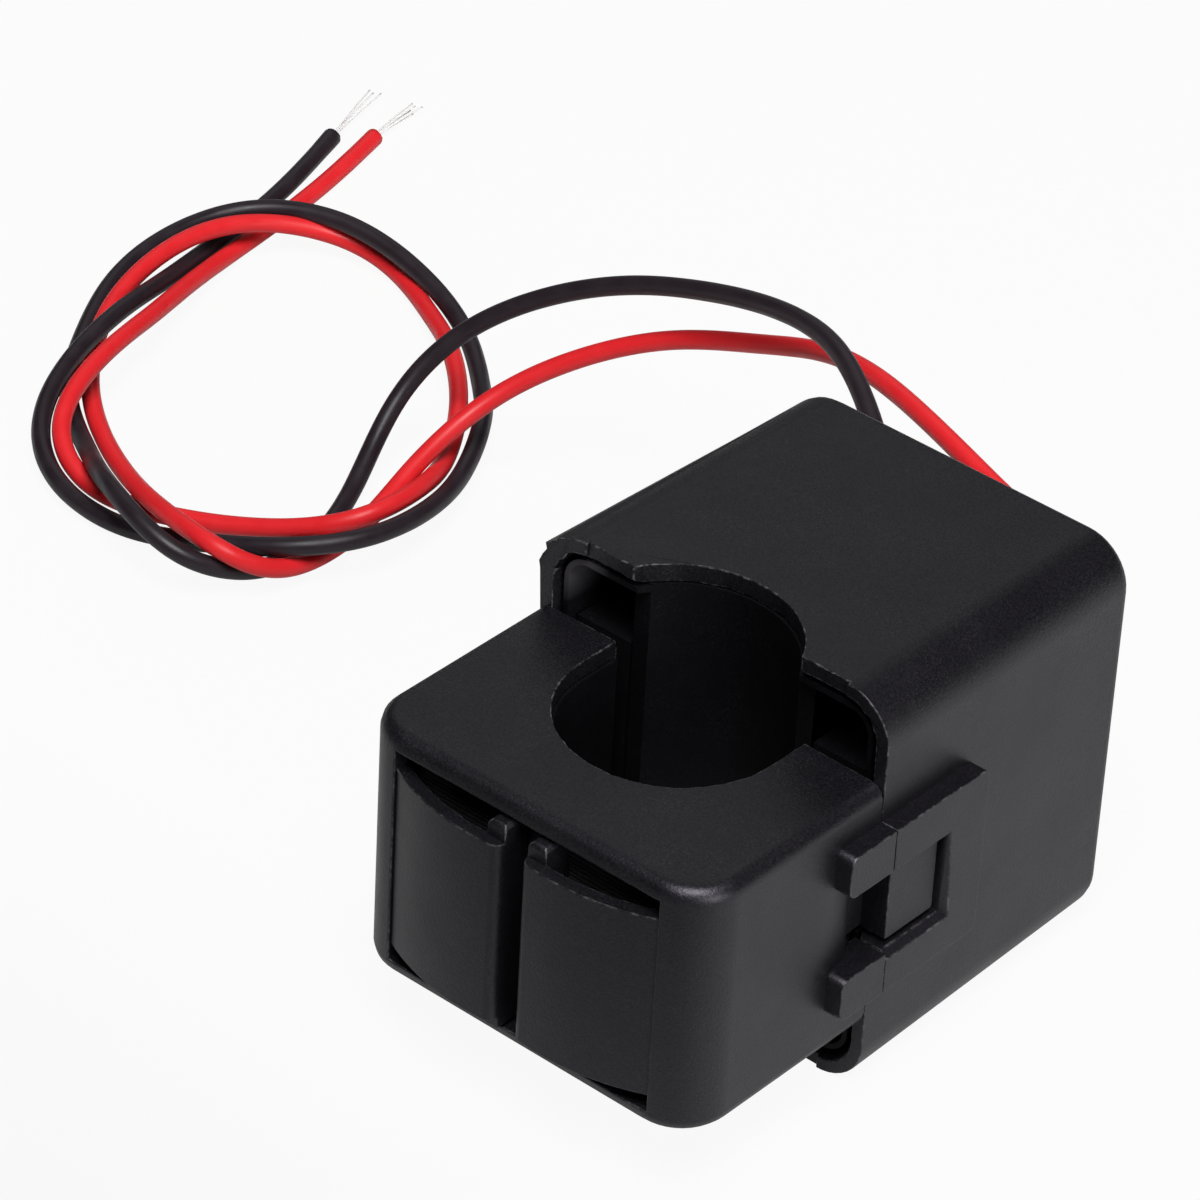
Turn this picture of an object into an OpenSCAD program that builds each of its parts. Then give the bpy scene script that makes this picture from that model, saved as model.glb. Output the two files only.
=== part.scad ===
// Split-core current transformer with a 16 mm aperture and two flying leads.
// The origin is on the aperture's axis at mid height of the rear housing.
// +Y points from the aperture to the rear housing and its leads, +Z is up.

/* [Aperture] */
// Diameter of the cable aperture through both halves
aperture_d = 16; // [12:0.5:17]
// Distance from the aperture's axis to the joint between the halves
seam_y = 3.5; // [2.5:0.5:4.5]
// Wall of the liners round the aperture
liner_wall = 1.1; // [0.8:0.1:1.2]
// Ledge of the liners inside the housings' aperture edge
liner_ledge = 0.2; // [0.1:0.05:0.4]

/* [Rear housing] */
// Room between a core leg and the side wall, where the latch's nose runs
side_room = 0.9; // [0.8:0.05:1.5]
// Height of the rear housing
rear_h = 32; // [30:0.5:38]
// Length of the rear housing from the joint to its back
rear_l = 26.8; // [26:0.2:32]
// Rounding of the rear housing's four long edges
long_edge_r = 3.7; // [2.5:0.1:5]
// Rounding of the rear housing's back edges
back_edge_r = 1.2; // [0.6:0.1:2]
// Draft of the rear housing's sides, as a slope
draft = 0.012; // [0:0.002:0.02]
// Wall of both housings
wall = 1.3; // [1.1:0.1:1.5]
// Setback of the top and bottom walls' front edges behind the side walls
lip_setback = 0.25; // [0:0.05:0.6]
// Chamfer inside the rear housing's rim
rim_chamfer = 0.35; // [0.1:0.05:0.5]

/* [Front housing] */
// Clearance above and below the core in the front housing
core_clearance = 0.35; // [0.2:0.05:0.8]
// Clearance between the front core's yoke and the front wall
yoke_clearance = 0.75; // [0.4:0.05:1]
// Drop of the front housing's and the core's mid height below the rear's
front_drop = 0.3; // [0:0.1:1]
// Rounding of the front housing's two upright corners
corner_r = 4; // [3:0.1:4.5]
// Rounding of the front housing's top and bottom edges
plate_edge_r = 1.1; // [0.6:0.1:1.2]
// Gap between the two housings at the joint
seam_gap = 0.06; // [0.04:0.01:0.2]

/* [Leaf springs] */
// Width of the corner posts beside the window that the two leaf springs close
post_w = 3.55; // [3.3:0.05:4.5]
// Gap between the springs' free ends
tip_gap = 1.9; // [1.2:0.1:3]
// Bow of a spring in front of the front face
spring_bow = 1.6; // [1:0.1:2.4]
// Setback of a spring's root behind the front face
spring_recess = 0.25; // [0.1:0.05:0.4]
// Distance from a spring's root to the crown of its bow
spring_crown = 8; // [7:0.1:8.5]
// Thickness of a spring
spring_t = 1.05; // [0.8:0.05:1.3]
// Gap above a spring
spring_gap_top = 1.6; // [0.5:0.1:2.5]
// Gap below a spring
spring_gap_bottom = 1.2; // [0.5:0.1:2.5]
// Width of the rib at a spring's free end
rib_w = 1.6; // [1.2:0.1:2]
// Gap above and below that rib
rib_gap = 0.35; // [0.2:0.05:0.6]

/* [Latches] */
// Height of the raised guard round a latch, both arms included
guard_h = 13.5; // [12:0.1:15]
// Height of the opening between the guard's arms
guard_opening_h = 6.8; // [6:0.1:8]
// Distance from the joint to the guard's far bar
guard_reach = 6; // [5.4:0.1:7]
// Width of the guard's far bar
guard_bar = 3.8; // [2.5:0.1:5]
// Height of the guard over the housing's side
guard_proud = 1.35; // [0.9:0.05:1.8]
// Length of the guard's two short arms on the front housing
stub_l = 4.6; // [3.5:0.1:5.5]
// Rounding of those arms' front corners
stub_r = 0.7; // [0.2:0.1:1]
// Depth of the press pad's face below the guard's face
pad_sunk = 0.65; // [0.3:0.05:0.9]
// Gap round the press pad
pad_gap = 0.5; // [0.3:0.05:0.7]
// Length of the opening in the front housing that the latch's nose enters
catch_l = 1.8; // [1.2:0.1:2.4]
// Length of the finger scoop in front of that opening
scoop_l = 4.2; // [3:0.1:5]
// Depth of the finger scoop at its deep end
scoop_depth = 0.75; // [0.3:0.05:0.9]
// Thickness of the tongue that carries the press pad
tongue_t = 0.9; // [0.7:0.05:1.1]
// Thickness of the latch's nose
nose_t = 0.5; // [0.4:0.05:0.55]
// Length of the nose in front of the joint
nose_l = 4; // [3:0.1:6]

/* [Mouth insert] */
// Setback of the insert behind the rear housing's rim
insert_setback = 0.4; // [0.2:0.05:1]
// Setback of the insert's aperture liner behind the joint
liner_setback = 1.2; // [0.4:0.1:2]
// Depth of the tray in the insert
tray_depth = 6; // [4:0.1:6.5]
// Wall of the insert's floor and of its sleeve at the floor
insert_wall = 0.9; // [0.7:0.1:1.2]
// Wall of the insert's sleeve at the mouth
mouth_wall = 0.4; // [0.3:0.05:0.6]
// Taper of the insert's outside towards the mouth
insert_taper = 0.2; // [0:0.05:0.3]
// Clearance between pieces that fit into one another
fit_gap = 0.1; // [0.05:0.01:0.15]

/* [Core and winding] */
// Thickness of the core's legs and yokes
core_t = 3.6; // [2.8:0.1:3.7]
// Height of the core
core_h = 16.6; // [14:0.1:17]
// Distance from the mouth insert to the coil
coil_setback = 0.5; // [0.3:0.1:1.5]
// Clearance between the coil and the rear housing's bottom wall
coil_clearance = 1; // [0.8:0.1:1.5]
// Room between the coil and the back wall for the terminals
terminal_room = 4.9; // [4.6:0.1:6]
// Wall of the bobbin's tube and flanges
bobbin_wall = 0.8; // [0.6:0.1:1]
// Thickness of the tape round the winding
tape_t = 0.3; // [0.1:0.05:0.4]
// Diameter of a terminal pin
pin_d = 0.7; // [0.5:0.05:0.9]

/* [Leads] */
// Outer diameter of a lead
lead_d = 1.5; // [1.2:0.1:1.6]
// Sideways place of the black lead's exit
black_x = -8; // [-9:0.5:-5]
// Sideways place of the red lead's exit
red_x = 4; // [2:0.5:8]
// Height of both exits over the aperture's mid height
exit_z = 8; // [6:0.5:9]
// Diameter of the bare tinned strands
strand_d = 0.7; // [0.4:0.05:0.9]
// Length of the black lead's bare strands
black_strand_l = 8.5; // [4:0.5:12]
// Length of the red lead's bare strands
red_strand_l = 6.5; // [4:0.5:12]

/* [Hidden] */

eps = 0.01;
over = 2; // overrun of a cut beyond the surface it opens
round_fn = 64;
corner_steps = 10;
route_steps = 3; // rings of a lead to each point of its route

aperture_r = aperture_d / 2;
core_in_x = aperture_r + liner_wall + fit_gap;
core_out_x = core_in_x + core_t;
half_w = core_out_x + side_room + wall;
housing_w = 2 * half_w;
inner_w = housing_w - 2 * wall;
notch_r = aperture_r + liner_ledge;

rear_back_y = seam_y + rear_l;
floor_z = -rear_h / 2;
front_joint_y = seam_y - seam_gap;
front_face_y = -core_out_x - yoke_clearance - wall;
front_z = -front_drop;
front_inner_h = core_h + 2 * core_clearance;
front_h = front_inner_h + 2 * wall;

guard_x = half_w + guard_proud;
pad_h = guard_opening_h - 2 * pad_gap;

insert_front_y = seam_y + insert_setback;
tray_floor_y = insert_front_y + tray_depth;
insert_back_y = tray_floor_y + insert_wall;
insert_w = inner_w - 2 * fit_gap;
insert_h = rear_h - 2 * wall - 2 * fit_gap - 2 * draft * (insert_back_y - seam_y);
insert_r = long_edge_r - wall - fit_gap;
liner_front_y = seam_y + liner_setback;

coil_y0 = insert_back_y + coil_setback;
coil_y1 = rear_back_y - wall - terminal_room;
yoke_mid_y = (coil_y0 + coil_y1) / 2;
yoke_y = yoke_mid_y - core_t / 2;
yoke_hole_y = core_t + 2 * fit_gap;
yoke_hole_z = core_h + 2 * fit_gap;
tube_y = yoke_hole_y + 2 * bobbin_wall;
tube_z = yoke_hole_z + 2 * bobbin_wall;
flange_y = coil_y1 - coil_y0;
flange_z = rear_h - 2 * (wall + coil_clearance + front_drop);
tape_y = flange_y - 2 * fit_gap;
tape_z = flange_z - 2 * fit_gap;
bobbin_half = core_in_x - fit_gap;
winding_half = bobbin_half - bobbin_wall;

terminal_bar_t = 1.6;
terminal_bar_h = 2.4;
terminal_y = coil_y1 + terminal_bar_t;
pin_depth = terminal_bar_t - 0.5;
pin_out = 1.2;
thin_fit = 0.04; // clearance of solder and sleeves on what they hold
rib_play = 0.05; // play between a spring's rib and the core
sleeve_t = 0.4;
rest_z = floor_z + lead_d / 2;

// Points that guide the leads' curves from the exits to the bare ends: X, Y and the height
// of the centreline over its rest on the floor
black_route = [
  [-8, 32.5, 23.25], [-10.5, 35, 23.5], [-15.5, 38.5, 25.5], [-22, 43, 25.25],
  [-30, 46, 23], [-37.5, 47, 20.5], [-44.5, 47, 18], [-51.5, 45.5, 14.5],
  [-57.5, 42.5, 10], [-60, 38, 4.75], [-57.5, 31.5, 0.75], [-55, 25, 0], [-54.5, 18, 0.25],
  [-57.5, 12, 3], [-64, 12.5, 5.25], [-70, 16, 3.5], [-75.5, 20.5, 0.5], [-83, 25, 0],
  [-87.5, 31.5, 0.25], [-91, 38, 1.25], [-92.5, 45.5, 1.75], [-90, 53.5, 2.75],
  [-81.5, 57, 3.25], [-72, 56.5, 1.25], [-65.5, 53.5, 0.25], [-60.5, 49, 0.25],
  [-56, 44.5, 1.75], [-52.5, 38.5, 1.25], [-49.5, 32, 2.5], [-49, 24.5, 3.25],
  [-53, 19, 3], [-60.5, 16.5, 1.25], [-67, 15, 0], [-74, 15, 0.75], [-80.5, 19.5, 1.25],
  [-83.5, 26, 2.75], [-85, 33.5, 3.5], [-87, 40, 2], [-89.5, 47, 0.5], [-91, 53.5, 0],
  [-92.5, 60.5, 0], [-95.5, 69, 0]
];
red_route = [
  [4, 33, 23.25], [2, 36.5, 23.25], [-3, 38.5, 23], [-10, 41, 23.25], [-18, 44.5, 22.5],
  [-25.5, 47.5, 20.5], [-33, 49, 16.75], [-41.5, 48.5, 14], [-48.5, 45, 10.25],
  [-53.5, 41, 6], [-54, 33.5, 3], [-52.5, 26.5, 1], [-53, 18.5, 0.5], [-55, 14, 4.25],
  [-62, 15.5, 3.5], [-69, 19, 1], [-76, 22.5, 0.25], [-83, 27.5, 0.25], [-87.5, 34, 2.25],
  [-89.5, 43, 3.25], [-88.5, 51, 3], [-83, 57, 1.25], [-77, 57.5, 0], [-70.5, 54, 0.25],
  [-64.5, 50, 1.75], [-58.5, 44.5, 1.75], [-54.5, 38.5, 1], [-51, 32, 3.5], [-50.5, 25, 4],
  [-56.5, 22.5, 1.25], [-64, 19.5, 0], [-72, 16.5, 0], [-78.5, 19, 2.5], [-81, 27.5, 4],
  [-83, 35, 3], [-86, 42, 1.5], [-88.5, 49.5, 0], [-89.5, 57, 0], [-91, 64.5, 0],
  [-93, 71.5, 0]
];

// Points of a rounded rectangle, centred on the origin
function rounded_rect(w, h, r, steps = corner_steps) = [
  for (corner = [0:3], k = [0:steps])
    let (a = 90 * corner + 90 * k / steps)
    [
      (corner == 0 || corner == 3 ? 1 : -1) * (w / 2 - r) + r * cos(a),
      (corner < 2 ? 1 : -1) * (h / 2 - r) + r * sin(a)
    ]
];

// Outline of the front housing seen from above, inset all round but at the joint
function front_outline(inset, joint_y, steps = corner_steps) =
  let (x = half_w - inset, y = front_face_y + inset, r = max(corner_r - inset, 0.3))
  concat(
    [[x, joint_y], [-x, joint_y]],
    [for (k = [0:steps]) let (a = 180 + 90 * k / steps) [-x + r + r * cos(a), y + r + r * sin(a)]],
    [for (k = [0:steps]) let (a = 270 + 90 * k / steps) [x - r + r * cos(a), y + r + r * sin(a)]]
  );

// Closed solid through rings of points that all have the same count
module loft(rings) {
  n = len(rings[0]);
  last = len(rings) - 1;
  points = [for (ring = rings) each ring];
  sides = [
    for (i = [0:last - 1], k = [0:n - 1])
      let (a = i * n + k, b = i * n + (k + 1) % n)
      [a, a + n, b + n, b]
  ];
  start = [for (k = [0:n - 1]) k];
  end = [for (k = [n - 1:-1:0]) last * n + k];
  polyhedron(points = points, faces = concat([start], sides, [end]), convexity = 6);
}

// Ring of the rear housing's section at a distance from the joint
function rear_ring(y, inset, back_inset = 0) =
  let (
    lean = draft * max(y - seam_y, 0) + inset + back_inset,
    r = max(long_edge_r - inset - back_inset / 2, 0.5)
  )
  [for (p = rounded_rect(housing_w - 2 * lean, rear_h - 2 * lean, r)) [-p[0], y, p[1]]];

module rear_body(inset, front_y, back_y) {
  r = max(back_edge_r - inset / 2, 0.4);
  loft(concat(
    [rear_ring(front_y, inset)],
    [for (a = [0:22.5:90]) rear_ring(back_y - r + r * sin(a), inset, r * (1 - cos(a)))]
  ));
}

module front_body(inset) {
  half = front_h / 2 - inset;
  r = max(plate_edge_r - inset, 0.2);
  joint_y = inset > 0 ? seam_y + over : front_joint_y;
  function ring(z, extra) = [for (p = front_outline(inset + extra, joint_y)) [p[0], p[1], z]];
  translate([0, 0, front_z])
    loft(concat(
      [for (a = [90:-30:0]) ring(-half + r - r * sin(a), r * (1 - cos(a)))],
      [for (a = [0:30:90]) ring(half - r + r * sin(a), r * (1 - cos(a)))]
    ));
}

// Upright slot round the aperture: a half round with straight sides up to the joint
module slot(r, h, to_y) {
  cylinder(r = r, h = h, center = true, $fn = round_fn);
  translate([-r, 0, -h / 2]) cube([2 * r, to_y, h]);
}

module mirrored_x() {
  children();
  mirror([1, 0, 0]) children();
}

// Plate in the YZ plane with rounded corners, standing on the housing's side
module side_plate(y0, y1, z0, z1, x0, x1, r) {
  translate([x0, (y0 + y1) / 2, (z0 + z1) / 2])
    rotate([90, 0, 90])
      linear_extrude(height = x1 - x0)
        polygon(rounded_rect(y1 - y0, z1 - z0, r, 4));
}

// Guard frame of one latch, on the side of the rear housing
module latch_guard() {
  far_y = seam_y + guard_reach + guard_bar;
  difference() {
    side_plate(seam_y - guard_bar, far_y, -guard_h / 2, guard_h / 2, half_w - wall / 2,
      guard_x, 0.7);
    translate([half_w - wall, seam_y - guard_bar - over, -guard_h])
      cube([guard_x - half_w + wall + over, guard_bar + over, 2 * guard_h]);
  }
}

module latch_opening()
  translate([half_w - wall - over, seam_y - over, -guard_opening_h / 2])
    cube([wall + guard_proud + 2 * over, guard_reach + over, guard_opening_h]);

// Tongue with the press pad on it, rooted under the guard's far bar, and the nose
module latch_tongue() {
  inner_x = half_w - wall;
  pad_y0 = seam_y + pad_gap;
  nose_h = pad_h - 2 * fit_gap;
  root_l = 1; // length over which the nose joins the tongue
  translate([inner_x, pad_y0, -pad_h / 2])
    cube([tongue_t, guard_reach - pad_gap + eps, pad_h]);
  side_plate(pad_y0, seam_y + guard_reach - pad_gap, -pad_h / 2, pad_h / 2,
    inner_x + tongue_t - eps, guard_x - pad_sunk, 0.15);
  translate([inner_x - nose_t - fit_gap, seam_y - nose_l, -nose_h / 2])
    cube([nose_t, nose_l + pad_gap + root_l, nose_h]);
  translate([inner_x - nose_t - fit_gap, pad_y0, -nose_h / 2])
    cube([nose_t + 2 * fit_gap, root_l, nose_h]);
}

module rear_housing() {
  color([0.17, 0.17, 0.18]) {
    difference() {
      union() {
        rear_body(0, seam_y, rear_back_y);
        mirrored_x() latch_guard();
      }
      rear_body(wall, seam_y - over, rear_back_y - wall);
      loft([
        rear_ring(seam_y - over, wall - rim_chamfer),
        rear_ring(seam_y, wall - rim_chamfer),
        rear_ring(seam_y + 2 * rim_chamfer, wall)
      ]);
      // aperture notch in the top and bottom walls
      cylinder(r = notch_r, h = 2 * rear_h, center = true, $fn = round_fn);
      // the top and bottom walls' front edges stand back between the corners
      translate([-half_w + long_edge_r, seam_y - over, -rear_h])
        cube([housing_w - 2 * long_edge_r, over + lip_setback, 2 * rear_h]);
      mirrored_x() latch_opening();
      for (x = [black_x, red_x])
        translate([x, rear_back_y, exit_z])
          rotate([90, 0, 0])
            cylinder(d = lead_d + 2 * fit_gap, h = 2 * (wall + over), center = true, $fn = 24);
    }
    mirrored_x() latch_tongue();
  }
}

// Ring of the mouth insert's outline, set in all round
function insert_ring(y, inset) =
  [for (p = rounded_rect(insert_w - 2 * inset, insert_h - 2 * inset, insert_r - inset))
    [-p[0], y, p[1]]];

// Tray behind the rear housing's rim: sleeve, floor, aperture liner and leg sleeves
module mouth_insert() {
  mouth_inset = insert_taper + mouth_wall;
  leg_sleeve_h = yoke_hole_z + 2 * insert_wall;
  color([0.15, 0.15, 0.16])
    difference() {
      union() {
        difference() {
          loft([insert_ring(insert_front_y, insert_taper), insert_ring(insert_back_y, 0)]);
          loft([
            insert_ring(insert_front_y - over, mouth_inset),
            insert_ring(insert_front_y, mouth_inset),
            insert_ring(tray_floor_y, insert_wall)
          ]);
        }
        intersection() {
          cylinder(r = aperture_r + liner_wall, h = insert_h, center = true, $fn = round_fn);
          translate([-half_w, liner_front_y, -rear_h]) cube([housing_w, rear_l, 2 * rear_h]);
        }
        mirrored_x()
          translate([aperture_r, liner_front_y, front_z - leg_sleeve_h / 2])
            cube([insert_w / 2 - insert_wall - aperture_r + eps, insert_back_y - liner_front_y,
              leg_sleeve_h]);
      }
      cylinder(r = aperture_r, h = 2 * rear_h, center = true, $fn = round_fn);
      mirrored_x() {
        translate([core_in_x - fit_gap, seam_y, front_z - yoke_hole_z / 2])
          cube([yoke_hole_y, rear_l, yoke_hole_z]);
        translate([core_out_x, seam_y, -guard_opening_h / 2])
          cube([half_w, rear_l, guard_opening_h]);
      }
    }
}

// U-shaped core half: two legs from the joint and a yoke whose outer corners are rounded.
// It is drawn with the joint at Y 0 and the yoke towards -Y.
module core_half(leg_l, r) {
  translate([0, 0, front_z - core_h / 2])
    linear_extrude(height = core_h)
      difference() {
        union() {
          translate([-core_out_x, r - leg_l]) square([2 * core_out_x, leg_l - r]);
          translate([0, 2 * r - leg_l])
            polygon(rounded_rect(2 * core_out_x, 4 * r, r));
        }
        translate([-core_in_x, core_t - leg_l]) square([2 * core_in_x, leg_l]);
        translate([-half_w, 0]) square([housing_w, housing_w]);
      }
}

module rear_core()
  color([0.36, 0.37, 0.40])
    translate([0, seam_y, 0]) mirror([0, 1, 0]) core_half(yoke_y + core_t - seam_y, 1.5);

module front_core()
  color([0.36, 0.37, 0.40])
    translate([0, front_joint_y, 0]) core_half(core_out_x + front_joint_y, 2.4);

// Rectangular tube round the rear core's yoke
module tube_on_yoke(length, outer_y, outer_z, inner_y, inner_z)
  translate([0, yoke_mid_y, front_z])
    difference() {
      cube([length, outer_y, outer_z], center = true);
      cube([length + 2 * over, inner_y, inner_z], center = true);
    }

module bobbin() {
  color([0.22, 0.22, 0.23]) {
    difference() {
      union() {
        tube_on_yoke(2 * bobbin_half, tube_y, tube_z, yoke_hole_y, yoke_hole_z);
        mirrored_x()
          translate([(bobbin_half + winding_half) / 2, 0, 0])
            tube_on_yoke(bobbin_wall, flange_y, flange_z, yoke_hole_y, yoke_hole_z);
        // terminal bar between the flanges, behind the winding
        translate([-bobbin_half, coil_y1 - eps, exit_z - terminal_bar_h / 2])
          cube([2 * bobbin_half, terminal_bar_t + eps, terminal_bar_h]);
      }
      for (x = [black_x, red_x])
        translate([x, terminal_y, exit_z]) rotate([90, 0, 0])
          cylinder(d = pin_d + thin_fit, h = 2 * (pin_depth + fit_gap), center = true, $fn = 24);
    }
  }
}

module secondary_winding()
  color([0.55, 0.27, 0.12])
    tube_on_yoke(2 * (winding_half - fit_gap), tape_y - 2 * tape_t - fit_gap,
      tape_z - 2 * tape_t - fit_gap, tube_y + fit_gap, tube_z + fit_gap);

module winding_tape()
  color([0.75, 0.66, 0.25])
    tube_on_yoke(2 * (winding_half - 2 * fit_gap), tape_y, tape_z,
      tape_y - 2 * tape_t, tape_z - 2 * tape_t);

// Round bar or tube along Y at the height of the exits
module along_y(x, y0, y1, d, bore = 0)
  translate([x, y1, exit_z]) rotate([90, 0, 0])
    difference() {
      cylinder(d = d, h = y1 - y0, $fn = 24);
      if (bore > 0) translate([0, 0, -over]) cylinder(d = bore, h = y1 - y0 + 2 * over, $fn = 24);
    }

module terminal_pin(x)
  color([0.80, 0.78, 0.72])
    along_y(x, terminal_y - pin_depth, terminal_y + pin_out, pin_d);

module solder_joint(x)
  color([0.72, 0.73, 0.75])
    along_y(x, terminal_y + fit_gap, terminal_y + pin_out - fit_gap, lead_d - 2 * fit_gap,
      pin_d + thin_fit);

module shrink_sleeve(x, shade)
  color(shade)
    along_y(x, terminal_y + fit_gap, rear_back_y - wall - 3 * fit_gap, lead_d + 2 * sleeve_t,
      lead_d + thin_fit);

module inner_lead(x, shade)
  color(shade) along_y(x, terminal_y + pin_out + fit_gap, rear_back_y, lead_d);

module black_pin() terminal_pin(black_x);
module red_pin() terminal_pin(red_x);
module black_joint() solder_joint(black_x);
module red_joint() solder_joint(red_x);
module black_sleeve() shrink_sleeve(black_x, [0.10, 0.10, 0.11]);
module red_sleeve() shrink_sleeve(red_x, [0.10, 0.10, 0.11]);
module black_inner_lead() inner_lead(black_x, [0.13, 0.13, 0.16]);
module red_inner_lead() inner_lead(red_x, [0.84, 0.12, 0.15]);

// Bowed leaf spring on the +X side of the window. Its free end hooks back into a taller rib
// that bears on the core.
module leaf_spring() {
  root_x = half_w - post_w;
  bow = spring_bow + spring_recess;
  r = (spring_crown * spring_crown + bow * bow) / (2 * bow);
  centre_x = root_x - spring_crown;
  centre_y = front_face_y - spring_bow + r;
  rib_r = rib_w / 2;
  rib_x = tip_gap / 2 + rib_r;
  hook_y = centre_y - sqrt(pow(r - rib_r, 2) - pow(centre_x - rib_x, 2));
  rib_end_y = -core_out_x - rib_play - rib_r;
  rib_h = front_inner_h - 2 * rib_gap;
  leaf_h = front_inner_h - spring_gap_top - spring_gap_bottom;
  translate([0, 0, front_z - front_inner_h / 2 + spring_gap_bottom]) {
    intersection() {
      translate([centre_x, centre_y, 0])
        difference() {
          cylinder(r = r, h = leaf_h, $fn = 180);
          translate([0, 0, -over])
            cylinder(r = r - spring_t, h = leaf_h + 2 * over, $fn = 180);
        }
      translate([rib_x, centre_y - r - over, 0])
        cube([root_x - rib_x + wall / 2, bow + wall + over, leaf_h]);
    }
    translate([rib_x, hook_y, 0]) cylinder(r = rib_r, h = leaf_h, $fn = 32);
  }
  translate([rib_x, 0, front_z - rib_h / 2]) {
    translate([-rib_r, hook_y, 0]) cube([rib_w, rib_end_y - hook_y, rib_h]);
    translate([0, rib_end_y, 0]) cylinder(r = rib_r, h = rib_h, $fn = 32);
  }
}

// One of the guard's short arms on the side of the front housing
module guard_stub(z0, z1)
  difference() {
    side_plate(seam_y - stub_l, seam_y + over, z0, z1, half_w - wall / 2, guard_x, stub_r);
    translate([half_w - wall, front_joint_y, z0 - over])
      cube([guard_x - half_w + wall + over, 2 * over, z1 - z0 + 2 * over]);
  }

// Opening for the latch's nose and the finger scoop that leads down to it
module catch_opening() {
  scoop_end_y = seam_y - catch_l;
  scoop_r = (scoop_l * scoop_l + scoop_depth * scoop_depth) / (2 * scoop_depth);
  h = guard_opening_h;
  translate([half_w - wall - over, scoop_end_y, -h / 2])
    cube([wall + guard_proud + 2 * over, catch_l + over, h]);
  difference() {
    translate([half_w - wall, scoop_end_y - scoop_l, -h / 2])
      cube([wall + guard_proud + over, scoop_l + eps, h]);
    translate([half_w - scoop_r, scoop_end_y - scoop_l, 0])
      cylinder(r = scoop_r, h = 2 * h, center = true, $fn = 180);
  }
}

module front_housing() {
  arm_h = (guard_h - guard_opening_h) / 2;
  color([0.17, 0.17, 0.18]) {
    difference() {
      union() {
        front_body(0);
        mirrored_x() {
          guard_stub(guard_opening_h / 2, guard_h / 2);
          guard_stub(-guard_h / 2, -guard_h / 2 + arm_h);
        }
      }
      front_body(wall);
      slot(notch_r, 2 * rear_h, seam_y + over);
      translate([0, front_face_y, front_z])
        cube([housing_w - 2 * post_w, 2 * (wall + over), front_inner_h], center = true);
      mirrored_x() catch_opening();
    }
    mirrored_x() leaf_spring();
  }
}

// U-shaped liner between the front housing's top and bottom walls, round the aperture
module front_liner() {
  h = front_inner_h - 2 * fit_gap;
  color([0.15, 0.15, 0.16])
    translate([0, 0, front_z])
      difference() {
        slot(aperture_r + liner_wall, h, front_joint_y);
        slot(aperture_r, h + over, seam_y + over);
        translate([-half_w, front_joint_y, -h]) cube([housing_w, housing_w, 2 * h]);
      }
}

// Swept tube with eight sides: each ring lies in the plane that halves the bend
function unit(v) = v / norm(v);
function tangent(path, i) =
  unit(path[min(i + 1, len(path) - 1)] - path[max(i - 1, 0)]);
function ring_at(centre, along, d, sides = 8) =
  let (side = unit(cross(along, [0, 0, 1])), up = cross(side, along))
  [for (k = [0:sides - 1]) let (a = 360 * (k + 0.5) / sides)
    centre + d / 2 * (cos(a) * side + sin(a) * up)];

// Smooth curve guided by points, as a uniform cubic spline from the first point to the last
function spline_point(p, i, t) = (
  pow(1 - t, 3) * p[i - 1] + (3 * pow(t, 3) - 6 * pow(t, 2) + 4) * p[i]
  + (3 * t + 3 * pow(t, 2) - 3 * pow(t, 3) + 1) * p[i + 1] + pow(t, 3) * p[i + 2]
) / 6;
function spline(points) =
  let (
    last = len(points) - 1,
    p = concat([2 * points[0] - points[1]], points, [2 * points[last] - points[last - 1]])
  )
  concat(
    [for (i = [1:last], k = [0:route_steps - 1]) spline_point(p, i, k / route_steps)],
    [points[last]]
  );
function lead_path(x, route) = spline(concat(
  [[x, rear_back_y, exit_z]],
  [for (p = route) [p[0], p[1], rest_z + p[2]]]
));
black_path = lead_path(black_x, black_route);
red_path = lead_path(red_x, red_route);

module free_lead(path, d) {
  exit_tangent = [0, 1, 0];
  loft([for (i = [0:len(path) - 1])
    ring_at(path[i], i == 0 ? exit_tangent : tangent(path, i), d)]);
}

// Bare strands in line with a lead's last stretch
module strands(path, length) {
  last = path[len(path) - 1];
  along = tangent(path, len(path) - 1);
  color([0.78, 0.76, 0.72])
    loft([
      ring_at(last, along, strand_d),
      ring_at(last + 0.6 * length * along, along, strand_d * 0.9),
      ring_at(last + length * along, along, strand_d * 0.45)
    ]);
}

module black_lead() color([0.13, 0.13, 0.16]) free_lead(black_path, lead_d);
module red_lead() color([0.84, 0.12, 0.15]) free_lead(red_path, lead_d);
module black_strands() strands(black_path, black_strand_l);
module red_strands() strands(red_path, red_strand_l);

rear_housing();
mouth_insert();
rear_core();
bobbin();
secondary_winding();
winding_tape();
black_pin();
red_pin();
black_joint();
red_joint();
black_sleeve();
red_sleeve();
black_inner_lead();
red_inner_lead();
front_housing();
front_liner();
front_core();
black_lead();
red_lead();
black_strands();
red_strands();
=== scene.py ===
"""Split-core current transformer: a clip-on magnetic core in a black moulded housing,
with two flying leads."""
import math

import bmesh
import bpy
from mathutils import Matrix, Vector, noise


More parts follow.
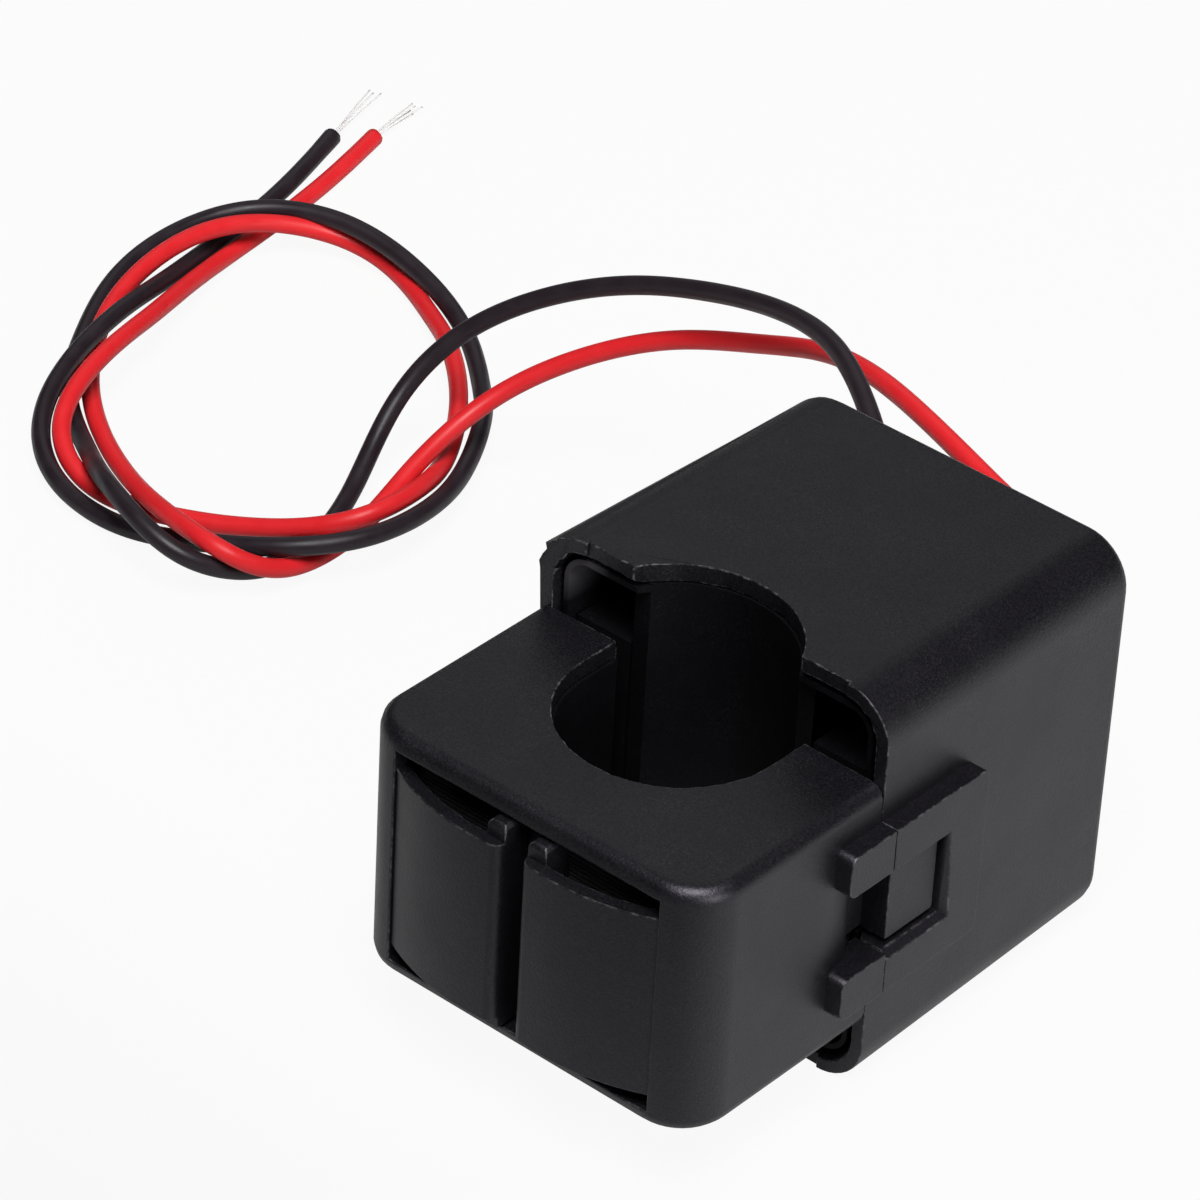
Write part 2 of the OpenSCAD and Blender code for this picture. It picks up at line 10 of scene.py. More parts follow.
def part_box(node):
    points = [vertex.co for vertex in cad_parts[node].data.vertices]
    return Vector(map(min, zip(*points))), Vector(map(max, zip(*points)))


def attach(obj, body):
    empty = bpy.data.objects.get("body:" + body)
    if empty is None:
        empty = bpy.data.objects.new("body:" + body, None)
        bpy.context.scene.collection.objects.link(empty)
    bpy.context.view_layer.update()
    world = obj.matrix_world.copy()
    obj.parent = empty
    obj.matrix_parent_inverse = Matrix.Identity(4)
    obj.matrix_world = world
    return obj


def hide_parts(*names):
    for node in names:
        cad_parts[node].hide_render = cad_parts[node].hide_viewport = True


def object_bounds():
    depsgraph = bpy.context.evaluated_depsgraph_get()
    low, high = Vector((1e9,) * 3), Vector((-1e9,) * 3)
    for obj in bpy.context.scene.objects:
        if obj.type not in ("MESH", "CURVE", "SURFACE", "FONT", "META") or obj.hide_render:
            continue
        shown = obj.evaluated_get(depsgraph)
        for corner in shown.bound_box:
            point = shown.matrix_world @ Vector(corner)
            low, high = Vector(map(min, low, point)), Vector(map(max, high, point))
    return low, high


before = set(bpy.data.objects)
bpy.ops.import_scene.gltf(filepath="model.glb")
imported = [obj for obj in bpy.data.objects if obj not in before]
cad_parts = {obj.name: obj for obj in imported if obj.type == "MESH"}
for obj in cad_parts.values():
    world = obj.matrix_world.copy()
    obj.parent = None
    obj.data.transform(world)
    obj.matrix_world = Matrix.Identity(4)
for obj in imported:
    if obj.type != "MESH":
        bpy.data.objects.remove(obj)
cad_low, cad_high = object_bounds()
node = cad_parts
millimetre = 0.001

# Camera
# A long lens looks down at the part from the front right corner.
camera_data = bpy.data.cameras.new("camera")
camera_data.sensor_width = 36
camera_data.lens = 182.95
camera_data.shift_x = 0.01286
camera_data.shift_y = 0.00319
camera_data.clip_start, camera_data.clip_end = 0.01, 10
camera = bpy.data.objects.new("camera", camera_data)
camera.location = (0.20295, -0.25533, 0.24505)
camera.rotation_euler = [math.radians(a) for a in (55.116, -2.565, 41.388)]
bpy.context.scene.collection.objects.link(camera)
bpy.context.scene.camera = camera

# Leads
# Two stranded copper leads in PVC insulation leave the back wall level, arch down to the bench,
# turn twice round in a loose ring and end side by side, cut square and stripped.
lead_diameter = 1.5 * millimetre
lead_exit_height = 8
black_exit_x, red_exit_x = -8, 4
bench_z = cad_low.z
resting_z = bench_z + lead_diameter / 2
housing_back_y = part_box("rear_housing")[1].y / millimetre
black_route = [
    (-8, 32.5, 23.25), (-10.5, 35, 23.5), (-15.5, 38.5, 25.5), (-22, 43, 25.25),
    (-30, 46, 23), (-37.5, 47, 20.5), (-44.5, 47, 18), (-51.5, 45.5, 14.5),
    (-57.5, 42.5, 10), (-60, 38, 4.75), (-57.5, 31.5, 0.75), (-55, 25, 0),
    (-54.5, 18, 0.25), (-57.5, 12, 3), (-64, 12.5, 5.25), (-70, 16, 3.5),
    (-75.5, 20.5, 0.5), (-83, 25, 0), (-87.5, 31.5, 0.25), (-91, 38, 1.25),
    (-92.5, 45.5, 1.75), (-90, 53.5, 2.75), (-81.5, 57, 3.25), (-72, 56.5, 1.25),
    (-65.5, 53.5, 0.25), (-60.5, 49, 0.25), (-56, 44.5, 1.75), (-52.5, 38.5, 1.25),
    (-49.5, 32, 2.5), (-49, 24.5, 3.25), (-53, 19, 3), (-60.5, 16.5, 1.25), (-67, 15, 0),
    (-74, 15, 0.75), (-80.5, 19.5, 1.25), (-83.5, 26, 2.75), (-85, 33.5, 3.5),
    (-87, 40, 2), (-89.5, 47, 0.5), (-91, 53.5, 0), (-92.5, 60.5, 0), (-95.5, 69, 0),
]
red_route = [
    (4, 33, 23.25), (2, 36.5, 23.25), (-3, 38.5, 23), (-10, 41, 23.25), (-18, 44.5, 22.5),
    (-25.5, 47.5, 20.5), (-33, 49, 16.75), (-41.5, 48.5, 14), (-48.5, 45, 10.25),
    (-53.5, 41, 6), (-54, 33.5, 3), (-52.5, 26.5, 1), (-53, 18.5, 0.5), (-55, 14, 4.25),
    (-62, 15.5, 3.5), (-69, 19, 1), (-76, 22.5, 0.25), (-83, 27.5, 0.25),
    (-87.5, 34, 2.25), (-89.5, 43, 3.25), (-88.5, 51, 3), (-83, 57, 1.25), (-77, 57.5, 0),
    (-70.5, 54, 0.25), (-64.5, 50, 1.75), (-58.5, 44.5, 1.75), (-54.5, 38.5, 1),
    (-51, 32, 3.5), (-50.5, 25, 4), (-56.5, 22.5, 1.25), (-64, 19.5, 0), (-72, 16.5, 0),
    (-78.5, 19, 2.5), (-81, 27.5, 4), (-83, 35, 3), (-86, 42, 1.5), (-88.5, 49.5, 0),
    (-89.5, 57, 0), (-91, 64.5, 0), (-93, 71.5, 0),
]


def link(name, work, body):
    """New piece of the object from a bmesh, with smooth faces, riding on one body."""
    for face in work.faces:
        face.smooth = True
    mesh = bpy.data.meshes.new(name)
    work.to_mesh(mesh)
    work.free()
    piece = bpy.data.objects.new(name, mesh)
    bpy.context.scene.collection.objects.link(piece)
    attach(piece, body)
    return piece


def add_tube(work, points, radii, sides):
    """Add an open round tube along points to a bmesh, by way of a poly curve."""
    curve = bpy.data.curves.new("tube", "CURVE")
    curve.dimensions = "3D"
    curve.bevel_depth = 1
    curve.bevel_resolution = sides // 2 - 2
    spline = curve.splines.new("POLY")
    spline.points.add(len(points) - 1)
    for place, p, r in zip(spline.points, points, radii):
        place.co = (*p, 1)
        place.radius = r
    holder = bpy.data.objects.new("tube", curve)
    bpy.context.scene.collection.objects.link(holder)
    mesh = bpy.data.meshes.new_from_object(
        holder.evaluated_get(bpy.context.evaluated_depsgraph_get()))
    work.from_mesh(mesh)
    bpy.data.objects.remove(holder)
    bpy.data.curves.remove(curve)
    bpy.data.meshes.remove(mesh)


def close_ends(work):
    bmesh.ops.holes_fill(work, edges=[e for e in work.edges if e.is_boundary], sides=0)


def lead_line(exit_x, route):
    """Centreline of a lead: a uniform cubic spline guided by its route, kept on the bench."""
    guides = [Vector((exit_x, housing_back_y, lead_exit_height)) * millimetre]
    guides += [Vector((x * millimetre, y * millimetre, resting_z + h * millimetre))
               for x, y, h in route]
    guides = [2 * guides[0] - guides[1], *guides, 2 * guides[-1] - guides[-2]]
    steps_per_guide = 16
    line = []
    for a, b, c, d in zip(guides, guides[1:], guides[2:], guides[3:]):
        for k in range(steps_per_guide):
            t = k / steps_per_guide
            p = (a * (1 - t)**3 + b * (3 * t**3 - 6 * t**2 + 4)
                 + c * (3 * t + 3 * t**2 - 3 * t**3 + 1) + d * t**3) / 6
            line.append(Vector((p.x, p.y, max(p.z, resting_z))))
    line.append(guides[-2])
    return line


def lead_piece(name, line, flare, seed):
    """Insulated lead: slightly uneven tube whose cut end is recessed round the copper."""
    unevenness, blotch_scale = 0.012, 300
    radii = [lead_diameter / 2
             * (1 + unevenness * noise.noise(p * blotch_scale + Vector((seed, 0, 0))))
             for p in line]
    flared = 5
    for k in range(1, flared + 1):
        radii[-k] *= 1 + flare * (1 - k / (flared + 1))
    work = bmesh.new()
    add_tube(work, line, radii, sides=24)
    end = line[-1]
    along = (line[-1] - line[-3]).normalized()
    rims = [e for e in work.edges if e.is_boundary]
    far_rim = [e for e in rims if (e.verts[0].co - end).length < lead_diameter]
    ragged_cut, cut_scale = 0.1 * millimetre, 4000
    for v in {v for e in far_rim for v in e.verts}:
        v.co += along * ragged_cut * noise.noise(v.co * cut_scale + Vector((0, seed, 0)))
    # Each ring's size beside the one before, and how far out it lies: lip, cut face, recess.
    for shrink, push in ((0.97, 0.02), (0.52, 0.0), (0.95, -0.5)):
        made = bmesh.ops.extrude_edge_only(work, edges=far_rim)["geom"]
        far_rim = [g for g in made if isinstance(g, bmesh.types.BMEdge)]
        verts = [g for g in made if isinstance(g, bmesh.types.BMVert)]
        bmesh.ops.scale(work, vec=(shrink,) * 3, verts=verts, space=Matrix.Translation(-end))
        bmesh.ops.translate(work, verts=verts, vec=along * push * millimetre)
    close_ends(work)
    bmesh.ops.recalc_face_normals(work, faces=work.faces)
    return link(name, work, "rear_half")


black_line = lead_line(black_exit_x, black_route)
red_line = lead_line(red_exit_x, red_route)
black_lead = lead_piece("black_lead_insulation", black_line, flare=0.06, seed=3.1)
red_lead = lead_piece("red_lead_insulation", red_line, flare=0.02, seed=8.4)
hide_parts("black_lead")
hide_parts("red_lead")

# The bare strands: each one's place across the bundle, its place up, and its share of the
# bundle's length.
strand_radius = 0.065 * millimetre
strand_inside = 1.2
bundle_radius = 0.17
strand_lays = ((-1, 0.1, 1), (-0.55, -0.5, 0.86), (0, 0.6, 0.93), (0.5, -0.3, 0.8),
               (1, 0.2, 0.97))


def strand_bundle(name, line, length, splay, lean, seed):
    """Fine tinned strands that leave the lead together and part in a narrow V."""
    along = (line[-1] - line[-4]).normalized()
    side = along.cross(Vector((0, 0, 1))).normalized()
    up = side.cross(along)
    steps = 20
    work = bmesh.new()
    for wire, (aside, rise, share) in enumerate(strand_lays):
        points = []
        for k in range(steps + 1):
            t = k / steps
            reach = (-strand_inside + t * (length * share + strand_inside)) * millimetre
            spread = bundle_radius + splay * max(t - 0.2, 0) ** 1.3
            wave = 0.05 * math.sin(5 * t + seed + 2 * wire)
            points.append(line[-1] + along * reach
                          + side * (aside * spread + wave + lean * t * t) * millimetre
                          + up * (rise * spread * 0.6 + wave) * millimetre)
        add_tube(work, points, [strand_radius] * len(points), sides=8)
    close_ends(work)
    return link(name, work, "rear_half")


black_strands = strand_bundle("black_lead_strands", black_line, length=8.5, splay=0.5,
                              lean=0.3, seed=0.4)
red_strands = strand_bundle("red_lead_strands", red_line, length=6.5, splay=0.45,
                            lean=0.8, seed=1.3)
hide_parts("black_strands")
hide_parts("red_strands")


def feed(tree, socket, value):
    """Link another node's output to a socket, or set it to a number or a colour."""
    if isinstance(value, bpy.types.NodeSocket):
        tree.links.new(value, socket)
    elif isinstance(value, tuple):
        socket.default_value = (*value, 1)
    else:
        socket.default_value = value


def principled(name, **values):
    """New material, its node tree and its shader, with the shader's plain sockets set."""
    material = bpy.data.materials.new(name)
    material.use_nodes = True
    tree = material.node_tree
    shader = tree.nodes["Principled BSDF"]
    for socket, value in values.items():
        feed(tree, shader.inputs[socket.replace("_", " ")], value)
    return material, tree, shader


def dress(piece, material):
    piece.data.materials.clear()
    piece.data.materials.append(material)


def own_place(tree):
    return tree.nodes.new("ShaderNodeTexCoord").outputs["Object"]


def noise_of(tree, place, scale, detail=4, rough=0.6):
    """Noise at a place; returns its 0 to 1 output."""
    texture = tree.nodes.new("ShaderNodeTexNoise")
    for socket, value in (("Vector", place), ("Scale", scale), ("Detail", detail),
                          ("Roughness", rough)):
        feed(tree, texture.inputs[socket], value)
    return texture.outputs["Fac"]


def ramp(tree, value, low, high, start=0.0, end=1.0):
    """Value mapped from low..high to start..end and held at the ends."""
    step = tree.nodes.new("ShaderNodeMapRange")
    for socket, number in (("Value", value), ("From Min", low), ("From Max", high),
                           ("To Min", start), ("To Max", end)):
        feed(tree, step.inputs[socket], number)
    return step.outputs["Result"]


def colour_mix(tree, factor, first, second):
    """Colour between two, each a plain colour or a link."""
    mix = tree.nodes.new("ShaderNodeMix")
    mix.data_type = "RGBA"
    for socket, value in (("Factor", factor), ("A", first), ("B", second)):
        feed(tree, mix.inputs[socket], value)
    return mix.outputs["Result"]


def relief(tree, shader, height, depth, strength=1.0):
    """Fine relief on a shader: a height between 0 and 1 over a depth in millimetres."""
    bump = tree.nodes.new("ShaderNodeBump")
    bump.inputs["Strength"].default_value = strength
    bump.inputs["Distance"].default_value = depth * millimetre
    feed(tree, bump.inputs["Height"], height)
    feed(tree, shader.inputs["Normal"], bump.outputs["Normal"])


def pvc_material(name, colour, deep):
    """Satin PVC: faint blotches of tone, dull handling marks and a fine drawn surface."""
    material, tree, shader = principled(name, Specular_IOR_Level=0.3)
    place = own_place(tree)
    blotch = noise_of(tree, place, scale=420, detail=5, rough=0.5)
    feed(tree, shader.inputs["Base Color"], colour_mix(tree, blotch, deep, colour))
    feed(tree, shader.inputs["Roughness"], ramp(tree, blotch, 0.35, 0.7, 0.33, 0.5))
    drawn = noise_of(tree, place, scale=3500, detail=3, rough=0.5)
    relief(tree, shader, drawn, depth=0.02, strength=0.25)
    return material


black_pvc = pvc_material("black_pvc", colour=(0.026, 0.019, 0.025), deep=(0.013, 0.009, 0.012))
red_pvc = pvc_material("red_pvc", colour=(0.78, 0.024, 0.03), deep=(0.68, 0.016, 0.021))
dress(black_lead, black_pvc)
dress(red_lead, red_pvc)
tinned_copper, tree, shader = principled("tinned_copper", Metallic=0.05)
tinning = noise_of(tree, own_place(tree), scale=2500, detail=2, rough=0.5)
feed(tree, shader.inputs["Base Color"],
     colour_mix(tree, tinning, (0.85, 0.82, 0.82), (0.95, 0.94, 0.93)))
feed(tree, shader.inputs["Roughness"], ramp(tree, tinning, 0, 1, 0.25, 0.45))
dress(black_strands, tinned_copper)
dress(red_strands, tinned_copper)

# Housing halves
# Two shells injection moulded in black PBT, with a fine spark-eroded grain on the outside.
# Matt liners of the same plastic are pushed into their mouths and wall off the aperture.
# The liners' colour is darkened as painted shade, and a painted patch of light lies high on the
# rear mouth's left inner wall.
# Sizes here are in millimetres.
dust = (0.075, 0.07, 0.078)
# Colour of a painted patch of light high on the rear mouth's left inner wall.
painted_light_patch = (0.05, 0.047, 0.054)
rubbed_plastic = (0.11, 0.105, 0.112)
merge_gap = 0.04
flat_angle = math.radians(0.6)
sharp_angle = math.radians(32)
crease_angle = math.radians(40)
eased_edge = 0.1
flash_pitch = 0.45
flash_wear, edge_wear = 0.8, 0.5
noise.seed_set(1)  # noise_vector differs from run to run without a seed


def maths(tree, operation, *values, clamp=False):
    """Math node on links or numbers; returns its output."""
    step = tree.nodes.new("ShaderNodeMath")
    step.operation = operation
    step.use_clamp = clamp
    for socket, value in zip(step.inputs, values):
        feed(tree, socket, value)
    return step.outputs[0]


def own_axis(tree, axis):
    """One of the piece's own coordinates, in metres."""
    axes = tree.nodes.new("ShaderNodeSeparateXYZ")
    feed(tree, axes.inputs[0], own_place(tree))
    return axes.outputs[axis]


def surface_group(name, inputs, outputs):
    """Empty shader node group with number sockets; returns it with its two end nodes."""
    group = bpy.data.node_groups.new(name, "ShaderNodeTree")
    for label, value in inputs:
        group.interface.new_socket(label, in_out="INPUT",
                                   socket_type="NodeSocketFloat").default_value = value
    for label in outputs:
        group.interface.new_socket(label, in_out="OUTPUT", socket_type="NodeSocketFloat")
    return group, group.nodes.new("NodeGroupInput"), group.nodes.new("NodeGroupOutput")


def grain_group():
    """Spark-eroded grain: height of fine pits, slow clouds of tone, and pale dust specks."""
    group, take, give = surface_group(
        "spark_eroded_grain", (("Pit Scale", 5200), ("Cloud Scale", 160), ("Speck Scale", 7500)),
        ("Height", "Cloud", "Specks"))
    place = own_place(group)
    feed(group, give.inputs["Height"], noise_of(group, place, take.outputs["Pit Scale"]))
    feed(group, give.inputs["Cloud"],
         noise_of(group, place, take.outputs["Cloud Scale"], detail=6, rough=0.65))
    specks = noise_of(group, place, take.outputs["Speck Scale"], detail=1)
    patches = noise_of(group, place, scale=240, detail=3)
    feed(group, give.inputs["Specks"],
         maths(group, "MULTIPLY", ramp(group, specks, 0.54, 0.7),
               ramp(group, patches, 0.4, 0.65, 0.15)))
    return group


def wear_group():
    """Rubbed edges: the piece's own edge attribute broken up by noise."""
    group, take, give = surface_group("rubbed_edges", (("Break Up", 1700), ("Reach", 0.55)),
                                      ("Mask",))
    edge = group.nodes.new("ShaderNodeAttribute")
    edge.attribute_name = "edge_wear"
    patchy = noise_of(group, own_place(group), take.outputs["Break Up"], detail=5, rough=0.7)
    reach = maths(group, "SUBTRACT", patchy, take.outputs["Reach"])
    rubbed = maths(group, "ADD", maths(group, "MULTIPLY", reach, 6), 0.5, clamp=True)
    feed(group, give.inputs["Mask"], maths(group, "MULTIPLY", rubbed, edge.outputs["Fac"]))
    return group


def group_node(tree, group):
    placed = tree.nodes.new("ShaderNodeGroup")
    placed.node_tree = group
    return placed


grain = grain_group()
rubbed_edges = wear_group()


def moulded_plastic(name, light, dark, gloss, dull, pit_depth, specks=0.5, specular=0.5,
                    lit_patch_x=0):
    """Black moulded plastic with the spark-eroded grain, dust specks and rubbed edges.
    Where a left X is given, a painted patch of light lies in the top corner beyond it, fading
    downward."""
    material, tree, shader = principled(name, Specular_IOR_Level=specular,
                                        Specular_Tint=(0.93, 0.9, 1.0))
    surface = group_node(tree, grain)
    rubbed = group_node(tree, rubbed_edges)
    tone = colour_mix(tree, ramp(tree, surface.outputs["Height"], 0.38, 0.62), dark, light)
    dusty = colour_mix(tree, maths(tree, "MULTIPLY", surface.outputs["Specks"], specks), tone,
                       dust)
    worn_and_painted_light = colour_mix(tree, rubbed.outputs["Mask"], dusty, rubbed_plastic)
    # Painted light: a pale patch high in the left corner, fading downward, stands in for light
    # falling on the mouth's inner wall.
    if lit_patch_x:
        aside = ramp(tree, own_axis(tree, "X"), lit_patch_x * millimetre,
                     (lit_patch_x - 1.5) * millimetre)
        high = ramp(tree, own_axis(tree, "Z"), 10.2 * millimetre, 12.5 * millimetre)
        worn_and_painted_light = colour_mix(tree, maths(tree, "MULTIPLY", aside, high), worn_and_painted_light, painted_light_patch)
    feed(tree, shader.inputs["Base Color"], worn_and_painted_light)
    feed(tree, shader.inputs["Roughness"],
         ramp(tree, surface.outputs["Cloud"], 0.3, 0.7, gloss, dull))
    relief(tree, shader, surface.outputs["Height"], pit_depth, strength=0.6)
    return material


housing_plastic = moulded_plastic(
    "housing_plastic", light=(0.0065, 0.0058, 0.0078), dark=(0.0016, 0.0014, 0.0024),
    gloss=0.37, dull=0.44, pit_depth=0.05, specks=0.16)
# Painted shade: the liners' colours are far darker than the shell's, standing in for the shade
# inside the mouth and the aperture.
insert_plastic = moulded_plastic(
    "insert_plastic", light=(0.0022, 0.002, 0.0026), dark=(0.0014, 0.0012, 0.0018),
    gloss=0.5, dull=0.62, pit_depth=0.02, specks=0.1, specular=0.15, lit_patch_x=-9.5)


def sharp_edges(work):
    """Outer edges that turn more than the facets of the moulding's curves do."""
    return [e for e in work.edges
            if e.is_manifold and e.is_convex and e.calc_face_angle(0) > sharp_angle]


def at(test, *verts):
    """Whether a test on X, Y and Z holds at all these corners."""
    return all(test(*(v.co / millimetre)) for v in verts)


def bevel_edges(work, edges, width, steps):
    """Bevel these edges; returns the new faces."""
    return bmesh.ops.bevel(work, geom=edges, offset=width * millimetre, offset_type="OFFSET",
                           segments=steps, profile=0.5, affect="EDGES", clamp_overlap=False,
                           material=-1)["faces"]


def leave_flash(work, ragged, height, lump):
    """Cut the ragged edges short and push them out unevenly; returns all sharp edges."""
    by_cuts = {}
    for edge in sharp_edges(work):
        if at(ragged, *edge.verts):
            cuts = round(edge.calc_length() / (flash_pitch * millimetre)) - 1
            by_cuts.setdefault(cuts, []).append(edge)
    for cuts, edges in sorted(by_cuts.items()):
        if cuts > 0:
            bmesh.ops.bisect_edges(work, edges=edges, cuts=cuts)
    sharp = sharp_edges(work)
    rough = {v for e in sharp if at(ragged, *e.verts) for v in e.verts}
    for v in sorted(rough, key=lambda v: tuple(v.co)):
        out = v.normal * (height + lump(*(v.co / millimetre))) * millimetre
        v.co += out * (0.5 + noise.noise(v.co * 2300))
        v.co += noise.noise_vector(v.co * 3100) * (0.3 * height * millimetre)
    return sharp


def moulded_copy(name, source, body, bevelled, bevel_width, bevel_steps, ragged, flash_height,
                 lump):
    """Copy of a moulded node: loose triangles merged, a plain bevel along the bevelled edges,
    ragged flash where the test says so, sharp edges eased and marked for wear."""
    work = bmesh.new()
    work.from_mesh(node[source].data)
    bmesh.ops.remove_doubles(work, verts=work.verts, dist=merge_gap * millimetre)
    bmesh.ops.dissolve_limit(work, angle_limit=flat_angle, verts=work.verts, edges=work.edges)
    bevel_edges(work, [e for e in sharp_edges(work) if at(bevelled, *e.verts)], bevel_width,
                bevel_steps)
    sharp = leave_flash(work, ragged, flash_height, lump)
    wear = work.loops.layers.float.new("edge_wear")
    for face in bevel_edges(work, sharp, eased_edge, 2):
        for corner in face.loops:
            corner[wear] = flash_wear if at(ragged, corner.vert) else edge_wear
    for edge in work.edges:
        edge.smooth = not edge.is_manifold or edge.calc_face_angle(0) < crease_angle
    piece = link(name, work, body)
    weigh = piece.modifiers.new("weighted_normals", "WEIGHTED_NORMAL")
    weigh.keep_sharp = True
    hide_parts(source)
    return piece


# The rear half's mouth: its moulding flash was cut off roughly, most of all at the top
# corner on the left. The guard's opening has a bevel on its lower edge and its far bar.
mouth_top_z, notch_back_y, rim_x = 9.5, 12.5, 16
guard_x, guard_bar_y, guard_arm_z = 16.3, 9.5, -3.4


def on_mouth_rim(x, y, z):
    return z > mouth_top_z and y < notch_back_y and abs(x) < rim_x


def corner_lump(x, y, z):
    return 0.4 if x < -13.2 and y < 4 and z > 11.5 else 0


def in_guard_opening(x, y, z):
    lower = 3 < y < guard_bar_y + 0.05 and abs(z - guard_arm_z) < 0.05
    far = abs(y - guard_bar_y) < 0.05 and abs(z) < 0.05 - guard_arm_z
    return abs(x) > guard_x and (lower or far)


rear_shell = moulded_copy(
    "rear_shell", "rear_housing", "rear_half", in_guard_opening, bevel_width=0.55,
    bevel_steps=1, ragged=on_mouth_rim, flash_height=0.12, lump=corner_lump)

# The front half: faint flash on the aperture's arc, and rounded ends on the springs' ribs.
arc_top_z, arc_radius = 9, 9.5
rib_inner_x, rib_outer_x, rib_back_y, leaf_top_z = 0.9, 2.6, -9, 6.9


def on_aperture_arc(x, y, z):
    return z > arc_top_z and math.hypot(x, y) < arc_radius


def on_rib_end(x, y, z):
    return rib_inner_x < abs(x) < rib_outer_x and y < rib_back_y and z > leaf_top_z


front_shell = moulded_copy(
    "front_shell", "front_housing", "front_half", on_rib_end, bevel_width=0.4,
    bevel_steps=3, ragged=on_aperture_arc, flash_height=0.05, lump=lambda x, y, z: 0)
for piece in (rear_shell, front_shell):
    dress(piece, housing_plastic)
for name in ("mouth_insert", "front_liner"):
    dress(node[name], insert_plastic)

# Core
# Two U-shaped stacks of silicon steel strip, varnished black. Their ends are ground flat,
# and meet when the halves clip together.


def layered_material(name, axis, pitch, groove, ridge, height, gloss, dull, **values):
    """Material with fine parallel layers across one axis: steel strip, wire or tape."""
    material, tree, shader = principled(name, **values)
    turn = maths(tree, "MULTIPLY", own_axis(tree, axis), 2 * math.pi / (pitch * millimetre))
    layer = maths(tree, "MULTIPLY_ADD", maths(tree, "SINE", turn), 0.5, 0.5)
    uneven = noise_of(tree, own_place(tree), scale=900)
    feed(tree, shader.inputs["Base Color"],
         colour_mix(tree, maths(tree, "MULTIPLY", layer, uneven), groove, ridge))
    feed(tree, shader.inputs["Roughness"], ramp(tree, uneven, 0.3, 0.7, gloss, dull))
    relief(tree, shader, layer, height)
    return material


core_steel = layered_material(
    "core_steel", axis="Z", pitch=0.35, groove=(0.02, 0.02, 0.022), ridge=(0.09, 0.09, 0.1),
    height=0.03, gloss=0.35, dull=0.55, Metallic=0.3)
for name in ("rear_core", "front_core"):
    dress(node[name], core_steel)

# Coil
# Fine enamelled copper wire wound on a moulded bobbin, which sits on the rear core's yoke.
# Polyester tape closes the winding.
dress(node["bobbin"], moulded_plastic(
    "bobbin_plastic", light=(0.02, 0.02, 0.022), dark=(0.014, 0.014, 0.016), gloss=0.4,
    dull=0.5, pit_depth=0.03))
# Painted shade: the darker groove colour darkens the hollows between the wire's turns.
dress(node["secondary_winding"], layered_material(
    "enamelled_copper", axis="X", pitch=0.2, groove=(0.2, 0.05, 0.015), ridge=(0.75, 0.3, 0.1),
    height=0.04, gloss=0.25, dull=0.4, Metallic=0.7))
dress(node["winding_tape"], layered_material(
    "winding_tape", axis="X", pitch=1.9, groove=(0.62, 0.46, 0.08), ridge=(0.8, 0.64, 0.14),
    height=0.02, gloss=0.25, dull=0.4, Coat_Weight=0.3))

# Terminals
# Tinned pins pressed into the bobbin's bar, each soldered to the end of its lead. A
# heat-shrink sleeve covers each joint.


def uneven_material(name, low, high, scale, height, gloss, dull, **values):
    """Plain material with slow changes of tone and gloss and a slightly uneven surface."""
    material, tree, shader = principled(name, **values)
    change = noise_of(tree, own_place(tree), scale)
    feed(tree, shader.inputs["Base Color"], colour_mix(tree, change, low, high))
    feed(tree, shader.inputs["Roughness"], ramp(tree, change, 0.3, 0.7, gloss, dull))
    relief(tree, shader, change, height)
    return material


tinned_pin = uneven_material(
    "tinned_pin", low=(0.6, 0.6, 0.58), high=(0.78, 0.78, 0.76), scale=1500, height=0.02,
    gloss=0.22, dull=0.4, Metallic=1)
solder = uneven_material(
    "solder", low=(0.55, 0.56, 0.58), high=(0.8, 0.8, 0.82), scale=2200, height=0.08,
    gloss=0.18, dull=0.4, Metallic=1)
shrink_sleeve = uneven_material(
    "shrink_sleeve", low=(0.006, 0.006, 0.007), high=(0.016, 0.016, 0.018), scale=900,
    height=0.12, gloss=0.38, dull=0.55)
for colour, pvc in (("black", black_pvc), ("red", red_pvc)):
    dress(node[colour + "_pin"], tinned_pin)
    dress(node[colour + "_joint"], solder)
    dress(node[colour + "_sleeve"], shrink_sleeve)
    dress(node[colour + "_inner_lead"], pvc)
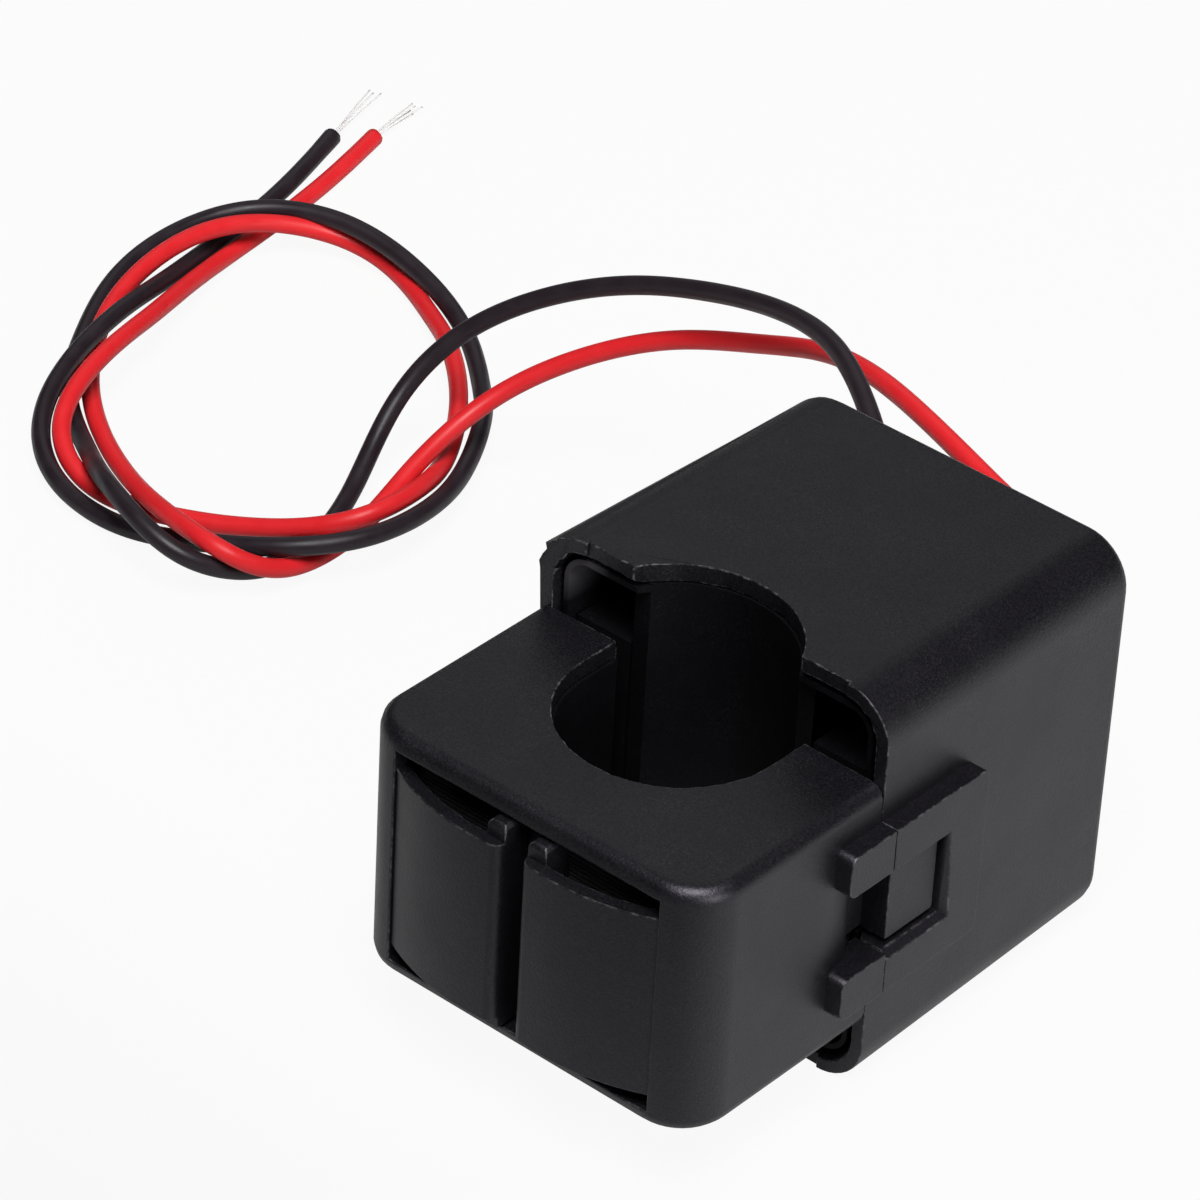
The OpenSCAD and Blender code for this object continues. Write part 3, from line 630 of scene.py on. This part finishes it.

# Bench and light
# A bench that shows almost white and mirrors faintly. Its colour is darkened ahead of the part
# as painted shade, which the part's front faces mirror. The main soft box hangs above the
# camera, a small one stands low on the right, and a large weak one is behind on the left.
bench_half = 1.5
seen_glow, mirrored_glow = 0.93, 0.2
dark_y, pale_y = -0.045, -0.005
bench_mesh = bpy.data.meshes.new("bench")
work = bmesh.new()
bmesh.ops.create_grid(work, x_segments=1, y_segments=1, size=bench_half)
bmesh.ops.translate(work, verts=work.verts, vec=(0, 0, bench_z))
work.to_mesh(bench_mesh)
work.free()
bench = bpy.data.objects.new("bench", bench_mesh)
bpy.context.scene.collection.objects.link(bench)
bench_material, tree, shader = principled("bench", Roughness=0.7, Specular_IOR_Level=0.2)
# Painted shade: the bench's colour darkens towards the camera side, so the part's front faces
# mirror a darker bench.
bench_painted_shade = ramp(tree, own_axis(tree, "Y"), dark_y, pale_y)
feed(tree, shader.inputs["Base Color"],
     colour_mix(tree, bench_painted_shade, (0.05, 0.05, 0.05), (0.52, 0.52, 0.52)))
glow = tree.nodes.new("ShaderNodeEmission")
glow.inputs["Color"].default_value = (1, 1, 1, 1)
rays = tree.nodes.new("ShaderNodeLightPath").outputs
mirrored = maths(tree, "ADD", rays["Is Glossy Ray"], rays["Is Transmission Ray"])
share = maths(tree, "MULTIPLY_ADD", rays["Is Camera Ray"], seen_glow,
              maths(tree, "MULTIPLY", mirrored, mirrored_glow))
mixer = tree.nodes.new("ShaderNodeMixShader")
for socket, part in zip(mixer.inputs, (share, shader.outputs[0], glow.outputs[0])):
    feed(tree, socket, part)
feed(tree, tree.nodes["Material Output"].inputs["Surface"], mixer.outputs[0])
dress(bench, bench_material)

world = bpy.data.worlds.new("studio")
world.use_nodes = True
world.node_tree.nodes["Background"].inputs["Color"].default_value = (1, 1, 1, 1)
world.node_tree.nodes["Background"].inputs["Strength"].default_value = 0.02
bpy.context.scene.world = world
for name, place, size, power in (
        ("top_box", (0.28, -0.3, 0.88), 0.5, 12),
        ("right_box", (0.8, -0.2, 0.2), 0.4, 3.5),
        ("back_box", (-0.7, 0.75, 0.75), 0.8, 0.9)):
    lamp = bpy.data.lights.new(name, "AREA")
    lamp.energy = power
    lamp.size = size
    holder = bpy.data.objects.new(name, lamp)
    holder.location = place
    holder.rotation_euler = (-Vector(place)).to_track_quat("-Z", "Y").to_euler()
    bpy.context.scene.collection.objects.link(holder)
bpy.context.scene.view_settings.view_transform = "Standard"
